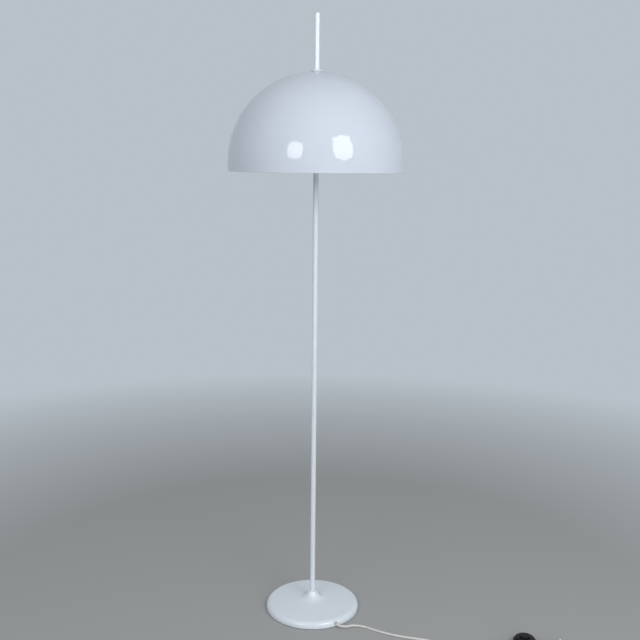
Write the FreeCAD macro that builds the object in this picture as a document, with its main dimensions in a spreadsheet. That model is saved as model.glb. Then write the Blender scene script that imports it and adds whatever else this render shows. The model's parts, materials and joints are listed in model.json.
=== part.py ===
import FreeCAD, Part
import math
import os
import re
import Sketcher
from FreeCAD import Rotation, Vector

# Mushroom floor lamp: a round weighted foot, a slim stem, and a domed shade whose hub slides and
# swivels on the stem. Millimetres. Z is up, the origin is on the floor under the middle of the foot,
# and -Y is the front. Left is -X and right is +X.

doc = FreeCAD.newDocument("MushroomFloorLamp")
dims = doc.addObject("Spreadsheet::Sheet", "dims")

driving_dimensions = {
    "Fits between pieces": {
        "thread_gap": 0.05,
        "running_gap": 0.05,
        "slack_gap": 0.3,
    },
    "Foot": {
        "foot_radius": 113.5,
        "foot_lift": 1.6,
        "foot_edge_height": 15.9,
        "foot_edge_round": 12.0,
        "flare_radius": 21.0,
        "flare_height": 24.5,
        "flare_round": 30.0,
        "foot_neck_radius": 9.0,
        "foot_neck_height": 42.0,
        "foot_neck_round": 3.0,
        "shell_wall": 1.5,
        "felt_inset": 6.5,
        "felt_bore": 22.0,
        "felt_thickness": 2.0,
        "weight_inset": 15.5,
        "weight_edge_height": 14.2,
        "weight_boss_radius": 19.0,
        "weight_boss_height": 22.4,
        "weight_web": 3.0,
        "weight_round": 1.5,
        "weight_cavity_radius": 24.0,
        "cord_channel_width": 7.0,
        "cord_channel_top": 11.2,
        "spacer_radius": 6.4,
        "nipple_radius": 5.0,
        "nipple_bore": 3.5,
        "nipple_reach": 16.0,
        "nipple_tail": 0.5,
        "nut_width": 14.0,
        "nut_thickness": 3.0,
        "nut_washer_radius": 10.5,
        "nut_washer_thickness": 1.0,
    },
    "Cord where it goes through the foot and the stem": {
        "cord_radius": 2.5,
        "cord_azimuth": -60.0,
        "cord_hole_height": 8.8,
        "cord_hole_radius": 4.4,
        "cord_stem_bend": 8.0,
        "cord_straight": 15.0,
        "grommet_wall": 0.75,
        "grommet_length": 5.2,
        "grommet_proud": 0.5,
        "cord_stop_width": 12.0,
        "cord_stop_height": 7.2,
        "cord_stop_length": 8.0,
        "cord_stop_reach": 13.0,
        "stop_screw_radius": 1.25,
        "stop_screw_length": 3.2,
        "stop_screw_spread": 8.0,
    },
    "Stem": {
        "lamp_height": 1410.0,
        "stem_radius": 6.0,
        "stem_wall": 1.0,
        "cap_thickness": 1.5,
        "cap_plug_depth": 10.0,
        "lead_hole_drop": 76.0,
        "lead_hole_radius": 3.9,
        "lead_bush_wall": 0.7,
        "lead_bush_lip": 0.9,
        "lead_bush_lip_width": 1.1,
        "lead_outlet_rise": 0.6,
    },
    "Shade": {
        "shade_radius": 200.0,
        "shade_wall": 3.0,
        "shade_skirt": 20.0,
        "shade_rim_drop": 345.0,
        "shade_rim_round": 0.8,
        "crown_flat_radius": 12.5,
    },
    "Hub and crown": {
        "hub_neck_radius": 8.5,
        "hub_seat_radius": 22.0,
        "hub_seat_thickness": 3.0,
        "hub_radius": 17.0,
        "hub_length": 54.0,
        "hub_round": 1.5,
        "seat_washer_edge": 1.2,
        "crown_washer_radius": 11.0,
        "crown_washer_thickness": 1.0,
        "crown_nut_radius": 14.0,
        "crown_nut_thickness": 2.4,
        "crown_nut_lip": 1.0,
        "crown_nut_round": 0.5,
        "hub_lead_offset": 12.0,
        "hub_lead_depth": 9.0,
        "hub_lead_sink": 5.0,
    },
    "Guide bushes": {
        "bush_wall": 1.2,
        "upper_bush_length": 20.0,
        "lower_bush_length": 8.0,
        "bush_flange_radius": 8.8,
        "bush_flange_thickness": 2.0,
    },
    "Thumbscrew": {
        "screw_height": 13.5,
        "screw_radius": 3.0,
        "screw_neck": 6.0,
        "screw_head_radius": 8.0,
        "screw_head_length": 11.0,
        "screw_head_chamfer": 0.8,
        "knurl_radius": 0.6,
        "knurl_count": 20,
    },
    "Lampholders and bulbs": {
        "holder_drop_angle": 38.0,
        "holder_axis_depth": 17.5,
        "holder_boss_radius": 8.0,
        "holder_boss_reach": 28.0,
        "holder_nipple_start": 17.0,
        "holder_nipple_length": 20.0,
        "holder_cap_start": 31.0,
        "holder_cap_length": 16.0,
        "holder_radius": 19.5,
        "holder_wall": 1.6,
        "holder_neck_radius": 9.0,
        "holder_shell_length": 28.0,
        "holder_core_thickness": 6.0,
        "holder_core_button": 3.0,
        "holder_core_button_height": 1.5,
        "bulb_thread_radius": 13.1,
        "bulb_thread_length": 24.0,
        "bulb_tip_radius": 4.5,
        "bulb_tip_height": 3.0,
        "bulb_tip_gap": 0.2,
        "bulb_neck_radius": 14.0,
        "bulb_radius": 30.0,
        "bulb_length": 82.0,
        "bulb_wall": 0.8,
        "bulb_neck_round": 26.0,
    },
    "Foot switch": {
        "switch_radius": 26.0,
        "switch_base_height": 8.5,
        "switch_lift": 1.2,
        "switch_top_height": 19.0,
        "switch_top_radius": 20.5,
        "switch_round": 4.0,
        "switch_wall": 2.0,
        "switch_button_radius": 12.5,
        "switch_button_gap": 0.5,
        "switch_button_height": 24.0,
        "switch_button_round": 2.5,
        "switch_button_flange": 1.5,
        "switch_travel": 3.0,
        "switch_ring_width": 2.4,
        "switch_ring_height": 1.0,
        "switch_core_radius": 9.0,
        "switch_foot_radius": 4.0,
        "switch_foot_circle": 17.5,
        "switch_foot_sink": 0.8,
        "switch_cord_height": 5.6,
        "switch_relief_length": 22.0,
        "switch_relief_start": 4.2,
        "switch_relief_end": 3.1,
    },
    "Plug": {
        "plug_width": 35.3,
        "plug_front_width": 26.0,
        "plug_thickness": 13.7,
        "plug_length": 34.0,
        "plug_taper_start": 12.0,
        "plug_tail_width": 12.0,
        "plug_round": 2.0,
        "pin_radius": 2.0,
        "pin_shank_radius": 1.9,
        "pin_shank_length": 9.0,
        "pin_groove_radius": 1.6,
        "pin_groove_width": 0.6,
        "pin_length": 19.0,
        "pin_spacing": 18.6,
        "pin_tip_round": 0.8,
        "plug_relief_length": 18.0,
        "plug_relief_start": 4.6,
        "plug_relief_end": 3.1,
    },
    "Cord on the floor": {
        "cord_bend_share": 0.45,
        "coil_inner_radius": 19.6,
        "coil_outer_radius": 40.4,
        "coil_height": 10.4,
        "coil_round": 2.4,
    },
}

row = 1
aliases = set()
for heading, cells in driving_dimensions.items():
    dims.set(f"A{row}", heading)
    row += 1
    for alias, size in cells.items():
        dims.set(f"A{row}", alias.replace("_", " "))
        dims.set(f"B{row}", str(size))
        dims.setAlias(f"B{row}", alias)
        aliases.add(alias)
        row += 1
doc.recompute()

pieces = []


def formula(text):
    """The text with every dimension's name turned into a reference to its cell."""
    return re.sub("[a-z_]+", lambda word: "dims." * (word.group() in aliases) + word.group(), text)


def value(text):
    """The number that a formula comes to."""
    return float(dims.evalExpression(formula(text)))


def bind(thing, formulas):
    for name, text in formulas.items():
        thing.setExpression(name, formula(text))


def put(thing, x="0", y="0", z="0", turn=None):
    """Turns a piece and binds its place to formulas."""
    if turn:
        thing.Placement.Rotation = turn
    bind(thing, {"Placement.Base.x": x, "Placement.Base.y": y, "Placement.Base.z": z})
    return thing


def piece(thing, label):
    """Names a finished piece of the lamp."""
    thing.Label = label
    pieces.append(thing)
    return thing


# ---- sketches -------------------------------------------------------------------------------------


def pin_point(sketch, side, end, across, up):
    """Fixes a point of a sketch at two formulas, or on an axis where the formula is zero."""
    for text, axis, kind in ((across, -2, "DistanceX"), (up, -1, "DistanceY")):
        if text == "0":
            sketch.addConstraint(Sketcher.Constraint("PointOnObject", side, end, axis))
        else:
            number = sketch.addConstraint(Sketcher.Constraint(kind, -1, 1, side, end, value(text)))
            sketch.setExpression(f"Constraints[{number}]", formula(text))


def draw_side(sketch, start, end, centre):
    """A straight side, or an arc about a centre. Returns its number and which ends start and close it."""
    if centre is None:
        return sketch.addGeometry(Part.LineSegment(start, end), False), 1, 2
    radius = (start - centre).Length
    first = math.atan2(start.y - centre.y, start.x - centre.x)
    last = math.atan2(end.y - centre.y, end.x - centre.x)
    forward = math.remainder(last - first, 2 * math.pi) > 0
    circle = Part.Circle(centre, Vector(0, 0, 1), radius)
    low, high = (first, last) if forward else (last, first)
    side = sketch.addGeometry(Part.ArcOfCircle(circle, low, high), False)
    return (side, 1, 2) if forward else (side, 2, 1)


def draw_outline(sketch, corners, rounds=None, domes=None):
    """A closed outline through corners, given as pairs of formulas. rounds gives the radius at a corner,
    and domes the height of the centre, on the upright axis, of the arc that follows a corner."""
    rounds = rounds or {}
    domes = domes or {}
    count = len(corners)
    spots = [Vector(value(across), value(up), 0) for across, up in corners]
    starts, ends = {}, {}
    for n, radius in rounds.items():
        back = (spots[n - 1] - spots[n]).normalize()
        ahead = (spots[(n + 1) % count] - spots[n]).normalize()
        reach = value(radius) / math.tan(back.getAngle(ahead) / 2)
        ends[n] = spots[n] + back * reach
        starts[n] = spots[n] + ahead * reach
    sides = []
    for n in range(count):
        after = (n + 1) % count
        centre = Vector(0, value(domes[n]), 0) if n in domes else None
        sides.append(draw_side(sketch, starts.get(n, spots[n]), ends.get(after, spots[after]), centre))
        if centre is not None:
            sketch.addConstraint(Sketcher.Constraint("PointOnObject", sides[n][0], 3, -2))
    for n in range(count):
        before, _, before_end = sides[n - 1]
        side, side_start, _ = sides[n]
        if n not in rounds:
            sketch.addConstraint(Sketcher.Constraint("Coincident", before, before_end, side, side_start))
            pin_point(sketch, side, side_start, *corners[n])
            continue
        back = (ends[n] - spots[n]).normalize()
        ahead = (starts[n] - spots[n]).normalize()
        half = back.getAngle(ahead) / 2
        centre = spots[n] + (back + ahead).normalize() * (value(rounds[n]) / math.sin(half))
        arc, arc_start, arc_end = draw_side(sketch, ends[n], starts[n], centre)
        corner = sketch.addGeometry(Part.Point(spots[n]), True)
        pin_point(sketch, corner, 1, *corners[n])
        sketch.addConstraint(Sketcher.Constraint("PointOnObject", corner, 1, before))
        sketch.addConstraint(Sketcher.Constraint("PointOnObject", corner, 1, side))
        sketch.addConstraint(Sketcher.Constraint("Tangent", before, before_end, arc, arc_start))
        sketch.addConstraint(Sketcher.Constraint("Tangent", arc, arc_end, side, side_start))
        number = sketch.addConstraint(Sketcher.Constraint("Radius", arc, value(rounds[n])))
        sketch.setExpression(f"Constraints[{number}]", formula(rounds[n]))


def new_sketch(body, name, plane):
    sketch = body.newObject("Sketcher::SketchObject", name)
    origin_plane = [item for item in body.Origin.OriginFeatures if item.Role == plane][0]
    sketch.AttachmentSupport = (origin_plane, [""])
    sketch.MapMode = "FlatFace"
    return sketch


def turned(name, corners, rounds=None, domes=None):
    """A body turned about its own Z axis from a half outline of (radius, height) corners."""
    body = doc.addObject("PartDesign::Body", name)
    sketch = new_sketch(body, name + "_outline", "XZ_Plane")
    draw_outline(sketch, corners, rounds, domes)
    turning = body.newObject("PartDesign::Revolution", name + "_turning")
    turning.Profile = sketch
    turning.ReferenceAxis = (sketch, ["V_Axis"])
    turning.Angle = 360
    sketch.Visibility = False
    return body


def ring(name, inner, outer, length):
    """A plain turned ring that stands on its own origin."""
    return turned(name, [(inner, "0"), (outer, "0"), (outer, length), (inner, length)])


def slab(name, corners, thickness, rounds=None):
    """A body padded up from a flat outline of (x, y) corners."""
    body = doc.addObject("PartDesign::Body", name)
    sketch = new_sketch(body, name + "_outline", "XY_Plane")
    draw_outline(sketch, corners, rounds)
    pad = body.newObject("PartDesign::Pad", name + "_pad")
    pad.Profile = sketch
    bind(pad, {"Length": thickness})
    sketch.Visibility = False
    return body


# ---- plain solids and booleans --------------------------------------------------------------------


def bar(name, radius, length):
    cylinder = doc.addObject("Part::Cylinder", name)
    bind(cylinder, {"Radius": radius, "Height": length})
    return cylinder


def block(name, length, width, height):
    box = doc.addObject("Part::Box", name)
    bind(box, {"Length": length, "Width": width, "Height": height})
    return box


def cut(name, base, tools):
    """The base with every tool taken out of it."""
    for number, tool in enumerate(tools, 1):
        trimmed = doc.addObject("Part::Cut", f"{name}_cut_{number}")
        trimmed.Base = base
        trimmed.Tool = tool
        base = trimmed
    return base


def fuse(name, shapes):
    joined = doc.addObject("Part::MultiFuse", name + "_joined")
    joined.Shapes = shapes
    joined.Refine = True
    return joined


def group(name, shapes):
    """Separate solids of one kind kept as one piece."""
    together = doc.addObject("Part::Compound", name + "_group")
    together.Links = shapes
    return together


# ---- directions -----------------------------------------------------------------------------------

along_cord = Rotation(Vector(0, 0, 1), value("cord_azimuth")) * Rotation(Vector(0, 1, 0), 90)
to_front = Rotation(Vector(1, 0, 0), 90)
to_back = Rotation(Vector(1, 0, 0), -90)
to_right = Rotation(Vector(0, 1, 0), 90)
to_left = Rotation(Vector(0, 1, 0), -90)


def out_along_cord(thing, distance, height):
    """Points a piece's Z axis outwards along the cord's way through the foot."""
    return put(thing, f"({distance}) * cos(cord_azimuth)", f"({distance}) * sin(cord_azimuth)",
               height, along_cord)


# ---- foot -----------------------------------------------------------------------------------------

weight_radius = "(foot_radius - weight_inset)"
neck_underside = "(foot_neck_height - shell_wall)"
web_underside = "(weight_boss_height - weight_web)"
nut_top = f"({web_underside} - nut_washer_thickness)"
nipple_bottom = f"({nut_top} - nut_thickness - nipple_tail)"
grommet_bore = "(cord_hole_radius - thread_gap - grommet_wall)"
cord_level = f"(cord_hole_height - ({grommet_bore} - cord_radius) + thread_gap)"
cord_foot_bend = f"({nipple_bottom} - {cord_level} - thread_gap)"


def make_base_shell():
    """Spun sheet cover: an upright rounded edge, a shallow cone and a flare up to the neck."""
    shell = turned("shell_blank", [
        ("0", "foot_lift"),
        ("foot_radius", "foot_lift"),
        ("foot_radius", "foot_edge_height"),
        ("flare_radius", "flare_height"),
        ("foot_neck_radius", "foot_neck_height"),
        ("0", "foot_neck_height"),
    ], {2: "foot_edge_round", 3: "flare_round", 4: "foot_neck_round"})
    doc.recompute()
    turning = shell.Tip
    underside = min(range(len(turning.Shape.Faces)), key=lambda n: turning.Shape.Faces[n].CenterOfMass.z)
    hollow = shell.newObject("PartDesign::Thickness", "base_shell_hollow")
    hollow.Base = (turning, [f"Face{underside + 1}"])
    bind(hollow, {"Value": "shell_wall"})
    hollow.Reversed = True
    shell.Tip = hollow
    stem_hole = bar("stem_hole", "nipple_radius + slack_gap", "foot_neck_height")
    cord_hole = out_along_cord(bar("cord_hole", "cord_hole_radius", "foot_radius"),
                               weight_radius, "cord_hole_height")
    piece(cut("base_shell", shell, [stem_hole, cord_hole]), "base_shell")


def make_base_weight():
    """Cast disc with a boss, a cavity for the nut and the cord's bend, and a channel for the cord."""
    disc = turned("weight_blank", [
        ("nipple_radius + slack_gap", web_underside),
        ("weight_cavity_radius", web_underside),
        ("weight_cavity_radius", "felt_thickness"),
        (weight_radius, "felt_thickness"),
        (weight_radius, "weight_edge_height"),
        ("weight_boss_radius", "weight_boss_height"),
        ("nipple_radius + slack_gap", "weight_boss_height"),
    ], {3: "weight_round", 4: "weight_round"})
    channel = block("cord_channel", weight_radius, "cord_channel_width", "cord_channel_top")
    channel.Placement.Rotation = Rotation(Vector(0, 0, 1), value("cord_azimuth"))
    bind(channel, {"Placement.Base.x": "cord_channel_width / 2 * sin(cord_azimuth)",
                   "Placement.Base.y": "-cord_channel_width / 2 * cos(cord_azimuth)"})
    piece(cut("base_weight", disc, [channel]), "base_weight")


def make_foot_fasteners():
    """Felt, spacer, nipple, washer and nut, which clamp the shell and the stem to the weight."""
    felt = ring("felt_pad", "felt_bore", "foot_radius - felt_inset", "felt_thickness")
    piece(felt, "felt_pad")
    spacer = ring("neck_spacer", "nipple_radius + thread_gap", "spacer_radius",
                  f"{neck_underside} - weight_boss_height")
    piece(put(spacer, z="weight_boss_height"), "neck_spacer")
    nipple = ring("stem_nipple", "nipple_bore", "nipple_radius",
                  f"foot_neck_height + nipple_reach - {nipple_bottom}")
    piece(put(nipple, z=nipple_bottom), "stem_nipple")
    washer = ring("nut_washer", "nipple_radius + slack_gap", "nut_washer_radius", "nut_washer_thickness")
    piece(put(washer, z=nut_top), "nut_washer")
    hexagon = doc.addObject("Part::Prism", "nut_hexagon")
    hexagon.Polygon = 6
    bind(hexagon, {"Circumradius": "nut_width / sqrt(3)", "Height": "nut_thickness"})
    put(hexagon, z=f"{nut_top} - nut_thickness")
    thread = put(bar("nut_thread", "nipple_radius + thread_gap", "nut_thickness"),
                 z=f"{nut_top} - nut_thickness")
    piece(cut("stem_nut", hexagon, [thread]), "stem_nut")


def make_cord_fittings():
    """The grommet in the foot's edge, and the stop block that takes the cord's pull."""
    grommet = ring("cord_grommet", grommet_bore, "cord_hole_radius - thread_gap",
                   "grommet_length + grommet_proud")
    piece(out_along_cord(grommet, "foot_radius - grommet_length", "cord_hole_height"), "cord_grommet")
    stop = slab("cord_stop_blank", [
        ("-cord_stop_height / 2", "-cord_stop_width / 2"),
        ("cord_stop_height / 2", "-cord_stop_width / 2"),
        ("cord_stop_height / 2", "cord_stop_width / 2"),
        ("-cord_stop_height / 2", "cord_stop_width / 2"),
    ], "cord_stop_length", {n: "shell_wall" for n in range(4)})
    out_along_cord(stop, "cord_stop_reach", cord_level)
    way = out_along_cord(bar("stop_way", "cord_radius + thread_gap", "cord_stop_length"),
                         "cord_stop_reach", cord_level)
    sockets, screws = [], []
    for side in (-1, 1):
        x = "(cord_stop_reach + cord_stop_length / 2)"
        y = f"({side} * stop_screw_spread / 2)"
        spot = {"x": f"{x} * cos(cord_azimuth) - {y} * sin(cord_azimuth)",
                "y": f"{x} * sin(cord_azimuth) + {y} * cos(cord_azimuth)",
                "z": f"{cord_level} - cord_stop_height / 2 - nipple_tail"}
        word = "left" if side < 0 else "right"
        sockets.append(put(bar(f"stop_socket_{word}", "stop_screw_radius + thread_gap",
                               "stop_screw_length + thread_gap"), **spot))
        screws.append(put(bar(f"stop_screw_{word}", "stop_screw_radius", "stop_screw_length"), **spot))
    piece(cut("cord_stop", stop, [way] + sockets), "cord_stop")
    piece(group("cord_stop_screws", screws), "cord_stop_screws")


# ---- stem -----------------------------------------------------------------------------------------

stem_bore = "(stem_radius - stem_wall)"


def make_stem():
    """Tube that stands on the foot's neck, with a flush cap and a bushed hole for the lead."""
    tube = ring("stem_blank", stem_bore, "stem_radius", "lamp_height - cap_thickness - foot_neck_height")
    put(tube, z="foot_neck_height")
    hole = put(bar("lead_hole", "lead_hole_radius", "stem_radius * 2"), z=lead_hole_level, turn=to_back)
    piece(cut("stem_tube", tube, [hole]), "stem_tube")
    cap = turned("stem_cap", [
        ("0", "-cap_plug_depth"),
        (f"{stem_bore} - thread_gap", "-cap_plug_depth"),
        (f"{stem_bore} - thread_gap", "0"),
        ("stem_radius", "0"),
        ("stem_radius", "cap_thickness"),
        ("0", "cap_thickness"),
    ], {1: "slack_gap", 4: "slack_gap"})
    piece(put(cap, z="lamp_height - cap_thickness"), "stem_cap")
    bush = turned("lead_bush", [
        ("lead_hole_radius - lead_bush_wall", "-stem_wall"),
        ("lead_hole_radius - thread_gap", "-stem_wall"),
        ("lead_hole_radius - thread_gap", "lead_bush_lip"),
        ("lead_hole_radius + lead_bush_lip_width", "lead_bush_lip"),
        ("lead_hole_radius + lead_bush_lip_width", "lead_bush_lip * 2"),
        ("lead_hole_radius - lead_bush_wall", "lead_bush_lip * 2"),
    ])
    put(bush, y="stem_radius", z=lead_hole_level, turn=to_back)
    piece(bush, "lead_bush")


# ---- head -----------------------------------------------------------------------------------------

rim_level = "(lamp_height - shade_rim_drop)"
dome_centre = f"({rim_level} + shade_skirt)"
crown_height = f"({dome_centre} + sqrt(shade_radius^2 - crown_flat_radius^2))"
seat_height = f"({dome_centre} + sqrt((shade_radius - shade_wall)^2 - hub_seat_radius^2) - seat_washer_edge)"
hub_bottom = f"({seat_height} - hub_seat_thickness - hub_length)"
lead_hole_level = f"({hub_bottom} - lead_hole_drop)"
neck_top = f"({crown_height} + crown_washer_thickness + crown_nut_thickness - crown_nut_lip - thread_gap)"
bush_outer = "(stem_radius + running_gap + bush_wall)"
hub_bore = f"({bush_outer} + running_gap)"
holder_axis_height = f"({seat_height} - holder_axis_depth)"
hub_neck_hole = "(hub_neck_radius + slack_gap)"


def make_shade():
    """Opal dome with a short upright skirt and a flat, holed crown."""
    inner = "(shade_radius - shade_wall)"
    shade = turned("shade", [
        (inner, "0"),
        ("shade_radius", "0"),
        ("shade_radius", "shade_skirt"),
        ("crown_flat_radius", "shade_skirt + sqrt(shade_radius^2 - crown_flat_radius^2)"),
        (hub_neck_hole, "shade_skirt + sqrt(shade_radius^2 - crown_flat_radius^2)"),
        (hub_neck_hole, f"shade_skirt + sqrt({inner}^2 - {hub_neck_hole}^2)"),
        (inner, "shade_skirt"),
    ], {0: "shade_rim_round", 1: "shade_rim_round"}, {2: "shade_skirt", 5: "shade_skirt"})
    piece(put(shade, z=rim_level), "shade")


def make_crown():
    """What clamps the shade to the hub: a domed seat washer, a flat washer and a flanged nut."""
    reach = "(shade_radius - shade_wall - thread_gap)"
    seat = turned("seat_washer", [
        (hub_neck_hole, "0"),
        ("hub_seat_radius", "0"),
        ("hub_seat_radius", f"{dome_centre} + sqrt({reach}^2 - hub_seat_radius^2) - {seat_height}"),
        (hub_neck_hole, f"{dome_centre} + sqrt({reach}^2 - {hub_neck_hole}^2) - {seat_height}"),
    ], None, {2: f"{dome_centre} - {seat_height}"})
    piece(put(seat, z=seat_height), "seat_washer")
    washer = ring("crown_washer", hub_neck_hole, "crown_washer_radius", "crown_washer_thickness")
    piece(put(washer, z=crown_height), "crown_washer")
    thread = "hub_neck_radius + thread_gap"
    nut = turned("crown_nut", [
        (thread, "0"),
        ("crown_nut_radius", "0"),
        ("crown_nut_radius", "crown_nut_thickness"),
        ("stem_radius + slack_gap", "crown_nut_thickness"),
        ("stem_radius + slack_gap", "crown_nut_thickness - crown_nut_lip"),
        (thread, "crown_nut_thickness - crown_nut_lip"),
    ], {1: "crown_nut_round", 2: "crown_nut_round"})
    piece(put(nut, z=f"{crown_height} + crown_washer_thickness"), "crown_nut")


def along_holder(thing, side, distance, turn=None):
    """Puts a piece on a lampholder's axis, pointing outwards and down. side is -1 or 1."""
    drop = value("holder_drop_angle")
    return put(thing, f"{side} * ({distance}) * cos(holder_drop_angle)", "0",
               f"{holder_axis_height} - ({distance}) * sin(holder_drop_angle)",
               Rotation(Vector(0, 1, 0), side * (90 + drop)))


def make_hub():
    """Turned hub that carries the shade, the two lampholders and the thumbscrew."""
    body = turned("hub_blank", [
        (hub_bore, hub_bottom),
        ("hub_radius", hub_bottom),
        ("hub_radius", f"{seat_height} - hub_seat_thickness"),
        ("hub_seat_radius", f"{seat_height} - hub_seat_thickness"),
        ("hub_seat_radius", seat_height),
        ("hub_neck_radius", seat_height),
        ("hub_neck_radius", neck_top),
        (hub_bore, neck_top),
    ], {1: "hub_round"})
    bosses, tools = [], []
    for word, side in (("left", -1), ("right", 1)):
        start = "hub_neck_radius"
        bosses.append(along_holder(bar(f"holder_boss_{word}", "holder_boss_radius",
                                       f"holder_boss_reach - {start}"), side, start))
        tools.append(along_holder(bar(f"holder_thread_{word}", "nipple_radius + thread_gap",
                                      "holder_boss_reach"), side, "holder_nipple_start - thread_gap"))
    bore = put(bar("hub_bore", hub_bore, "hub_length * 2"), z=hub_bottom)
    screw_hole = put(bar("screw_hole", "screw_radius + thread_gap", "hub_radius * 2"),
                     z=f"{hub_bottom} + screw_height", turn=to_front)
    lead_way = put(bar("hub_lead_way", "cord_radius + slack_gap", "hub_lead_depth"),
                   y="hub_lead_offset", z=hub_bottom)
    joined = fuse("hub", [body] + bosses)
    piece(cut("hub", joined, [bore] + tools + [screw_hole, lead_way]), "hub")


def make_bushes():
    """Two liners that slide on the stem, with the hub turning on them."""
    bore = "stem_radius + running_gap"
    upper = ring("upper_bush", bore, bush_outer, "upper_bush_length")
    piece(put(upper, z=f"{neck_top} - slack_gap - upper_bush_length"), "upper_bush")
    lower = turned("lower_bush", [
        (bore, "-bush_flange_thickness"),
        ("bush_flange_radius", "-bush_flange_thickness"),
        ("bush_flange_radius", "0"),
        (bush_outer, "0"),
        (bush_outer, "lower_bush_length"),
        (bore, "lower_bush_length"),
    ])
    piece(put(lower, z=f"{hub_bottom} - running_gap"), "lower_bush")


def make_thumbscrew():
    """Knurled screw that comes in from the front and locks the hub on the stem."""
    tip = "(stem_radius + running_gap)"
    shoulder = f"(hub_radius + screw_neck - {tip})"
    screw = turned("thumbscrew", [
        ("0", "0"),
        ("screw_radius", "0"),
        ("screw_radius", shoulder),
        ("screw_head_radius", shoulder),
        ("screw_head_radius", f"{shoulder} + screw_head_length"),
        ("0", f"{shoulder} + screw_head_length"),
    ], {1: "slack_gap", 3: "screw_head_chamfer", 4: "screw_head_chamfer"})
    doc.recompute()
    groove_sketch = new_sketch(screw, "knurl_outline", "XY_Plane")
    circle = Part.Circle(Vector(value("screw_head_radius"), 0, 0), Vector(0, 0, 1), value("knurl_radius"))
    groove = groove_sketch.addGeometry(circle, False)
    pin_point(groove_sketch, groove, 3, "screw_head_radius", "0")
    number = groove_sketch.addConstraint(Sketcher.Constraint("Radius", groove, value("knurl_radius")))
    groove_sketch.setExpression(f"Constraints[{number}]", formula("knurl_radius"))
    bind(groove_sketch, {"AttachmentOffset.Base.z": shoulder})
    pocket = screw.newObject("PartDesign::Pocket", "knurl_groove")
    pocket.Profile = groove_sketch
    pocket.Reversed = True
    bind(pocket, {"Length": "screw_head_length"})
    doc.recompute()
    pattern = screw.newObject("PartDesign::PolarPattern", "knurl")
    pattern.Originals = [pocket]
    pattern.Axis = (groove_sketch, ["N_Axis"])
    pattern.Angle = 360
    bind(pattern, {"Occurrences": "knurl_count"})
    screw.Tip = pattern
    groove_sketch.Visibility = False
    piece(put(screw, y=f"-{tip}", z=f"{hub_bottom} + screw_height", turn=to_front), "thumbscrew")


def make_lampholder(word, side):
    """One lampholder on its nipple, and the bulb that is screwed into it."""
    nipple = ring(f"holder_nipple_{word}", "nipple_bore", "nipple_radius", "holder_nipple_length")
    piece(along_holder(nipple, side, "holder_nipple_start"), f"holder_nipple_{word}")
    cap = turned(f"holder_cap_{word}", [
        ("nipple_radius + thread_gap", "0"),
        ("holder_neck_radius", "0"),
        ("holder_radius", "holder_cap_length / 2"),
        ("holder_radius", "holder_cap_length"),
        ("holder_radius - holder_wall", "holder_cap_length"),
        ("holder_radius - holder_wall", "holder_cap_length / 2 + holder_wall / 2"),
        ("holder_neck_radius - holder_wall / 2", "holder_wall"),
        ("nipple_radius + thread_gap", "holder_wall"),
    ], {2: "holder_wall * 2"})
    piece(along_holder(cap, side, "holder_cap_start"), f"holder_cap_{word}")
    shell_start = "(holder_cap_start + holder_cap_length)"
    mouth = "(bulb_thread_radius + slack_gap)"
    shell = turned(f"holder_shell_{word}", [
        (mouth, "0"),
        ("holder_radius", "0"),
        ("holder_radius", "holder_shell_length"),
        (mouth, "holder_shell_length"),
    ], {2: "holder_wall / 2", 3: "holder_wall / 2"})
    piece(along_holder(shell, side, shell_start), f"holder_shell_{word}")
    core = turned(f"holder_core_{word}", [
        ("0", "-holder_core_thickness"),
        ("holder_radius - holder_wall - thread_gap", "-holder_core_thickness"),
        ("holder_radius - holder_wall - thread_gap", "0"),
        ("holder_core_button", "0"),
        ("holder_core_button", "holder_core_button_height"),
        ("0", "holder_core_button_height"),
    ])
    piece(along_holder(core, side, shell_start), f"holder_core_{word}")
    tip = f"({shell_start} + holder_core_button_height + bulb_tip_gap)"
    base = turned(f"bulb_base_{word}", [
        ("0", "0"),
        ("bulb_tip_radius", "0"),
        ("bulb_thread_radius", "bulb_tip_height"),
        ("bulb_thread_radius", "bulb_tip_height + bulb_thread_length"),
        ("0", "bulb_tip_height + bulb_thread_length"),
    ])
    piece(along_holder(base, side, tip), f"bulb_base_{word}")
    glass_start = f"({tip} + bulb_tip_height + bulb_thread_length)"
    middle = "(bulb_length - bulb_radius)"
    rise = "sqrt(bulb_radius^2 - (bulb_radius - bulb_wall * 3)^2)"
    waist = "(bulb_radius - bulb_wall * 3)"
    glass = turned(f"bulb_glass_{word}", [
        ("0", "0"),
        ("bulb_neck_radius", "0"),
        ("bulb_neck_radius + bulb_wall", "bulb_neck_round"),
        (waist, f"{middle} - {rise}"),
        ("0", "bulb_length"),
        ("0", "bulb_length - bulb_wall"),
        ("bulb_radius - bulb_wall", middle),
        (f"{waist} - bulb_wall", f"{middle} - {rise}"),
        ("bulb_neck_radius", "bulb_neck_round"),
        ("bulb_neck_radius - bulb_wall", "bulb_wall"),
        ("0", "bulb_wall"),
    ], None, {3: middle, 5: middle})
    piece(along_holder(glass, side, glass_start), f"bulb_glass_{word}")


# ---- foot switch and plug -------------------------------------------------------------------------

switch_spot = Vector(489.5, -168.5, 0)
coil_spot = Vector(583.0, -216.0, 0)
plug_spot = Vector(523.0, -255.0, 0)


def at_spot(thing, spot, dx="0", dy="0", z="0", turn=None):
    return put(thing, f"{spot.x} + {dx}", f"{spot.y} + {dy}", z, turn)


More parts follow.
